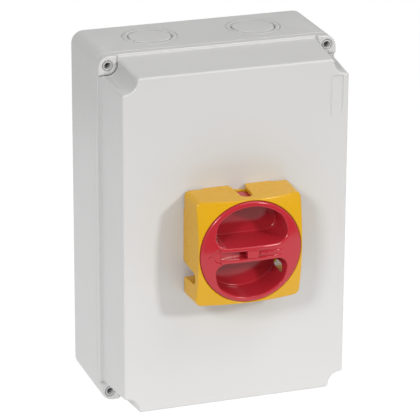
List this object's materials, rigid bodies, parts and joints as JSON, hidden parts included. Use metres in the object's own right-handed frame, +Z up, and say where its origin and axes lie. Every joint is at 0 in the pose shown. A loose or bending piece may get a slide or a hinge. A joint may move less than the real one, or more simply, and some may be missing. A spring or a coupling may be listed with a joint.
{
  "type": "rotary isolator switch",
  "caption": "Wall-mounted rotary isolator: grey screw-fixed enclosure with knockouts, domed yellow bezel and padlockable red rotary knob over a stacked-deck switch.",
  "frame": {"origin": "centre of the flat back face that lies against the wall", "axes": "+Z up, -Y out of the wall towards the user, +X to the right seen from the front"},
  "size_m": [0.18, 0.1454, 0.265],
  "materials": {
    "grey_moulding": "fine satin moulded polycarbonate, light grey",
    "yellow_moulding": "semi-gloss moulded plastic, signal yellow",
    "red_moulding": "semi-gloss moulded plastic, signal red",
    "black_moulding": "fine matt moulded plastic",
    "ivory_moulding": "matt thermoset moulding",
    "clear_shield": "clear polycarbonate",
    "seal_rubber": "matt elastomer",
    "zinc_steel": "bright zinc plated",
    "screw_steel": "zinc plated, satin",
    "spring_steel": "oiled spring steel",
    "brass_bar": "machined",
    "contact_copper": "rolled copper alloy"
  },
  "bodies": {
    "enclosure": {"rear_box": "grey_moulding", "box_gasket": "seal_rubber", "mounting_rail": "zinc_steel", "rail_screws": "screw_steel", "earth_bar": "brass_bar", "earth_bar_screws": "screw_steel", "switch_foot": "black_moulding", "lower_contact_deck": "ivory_moulding", "upper_contact_deck": "ivory_moulding", "switch_top_plate": "black_moulding", "detent_housing": "black_moulding", "detent_springs": "spring_steel", "switch_tie_screws": "screw_steel", "lower_fixed_contacts": "contact_copper", "upper_fixed_contacts": "contact_copper", "terminal_clamps": "zinc_steel", "terminal_screws": "screw_steel", "terminal_shields": "clear_shield"},
    "rail_clip_slide": {"rail_clip": "ivory_moulding"},
    "rotor": {"rotor_drum": "black_moulding", "moving_contacts": "contact_copper", "drive_shaft": "zinc_steel", "detent_cam": "ivory_moulding"},
    "cover": {"front_cover": "grey_moulding", "cover_screws": "screw_steel", "screw_retainers": "black_moulding", "bezel": "yellow_moulding", "bezel_seal": "seal_rubber", "bezel_screws": "screw_steel"},
    "handle": {"knob": "red_moulding", "knob_seal": "seal_rubber", "retaining_ring": "ivory_moulding", "retainer_screws": "screw_steel", "shaft_socket": "zinc_steel"},
    "padlock_tab": {"lock_tab": "red_moulding"}
  },
  "joints": [
    {"name": "cover_lift", "type": "slide", "parent": "enclosure", "child": "cover", "axis": [0, -1, 0], "range_m": [0, 0.09]},
    {"name": "handle_turn", "type": "hinge", "parent": "cover", "child": "handle", "pos_m": [0, -0.118, 0.0012], "axis": [0, 1, 0], "range_deg": [0, 90]},
    {"name": "rotor_turn", "type": "hinge", "parent": "enclosure", "child": "rotor", "pos_m": [0, -0.05, 0.0012], "axis": [0, 1, 0], "range_deg": [0, 90]},
    {"name": "lock_tab_pull", "type": "slide", "parent": "handle", "child": "padlock_tab", "axis": [0, -1, 0], "range_m": [0, 0.012]},
    {"name": "rail_clip_release", "type": "slide", "parent": "enclosure", "child": "rail_clip_slide", "axis": [0, 0, -1], "range_m": [0, 0.004], "stiffness_N_per_m": 800, "springref_m": -0.001}
  ],
  "couplings": [
    {"joint": "rotor_turn", "follows": "handle_turn", "ratio": 1}
  ]
}
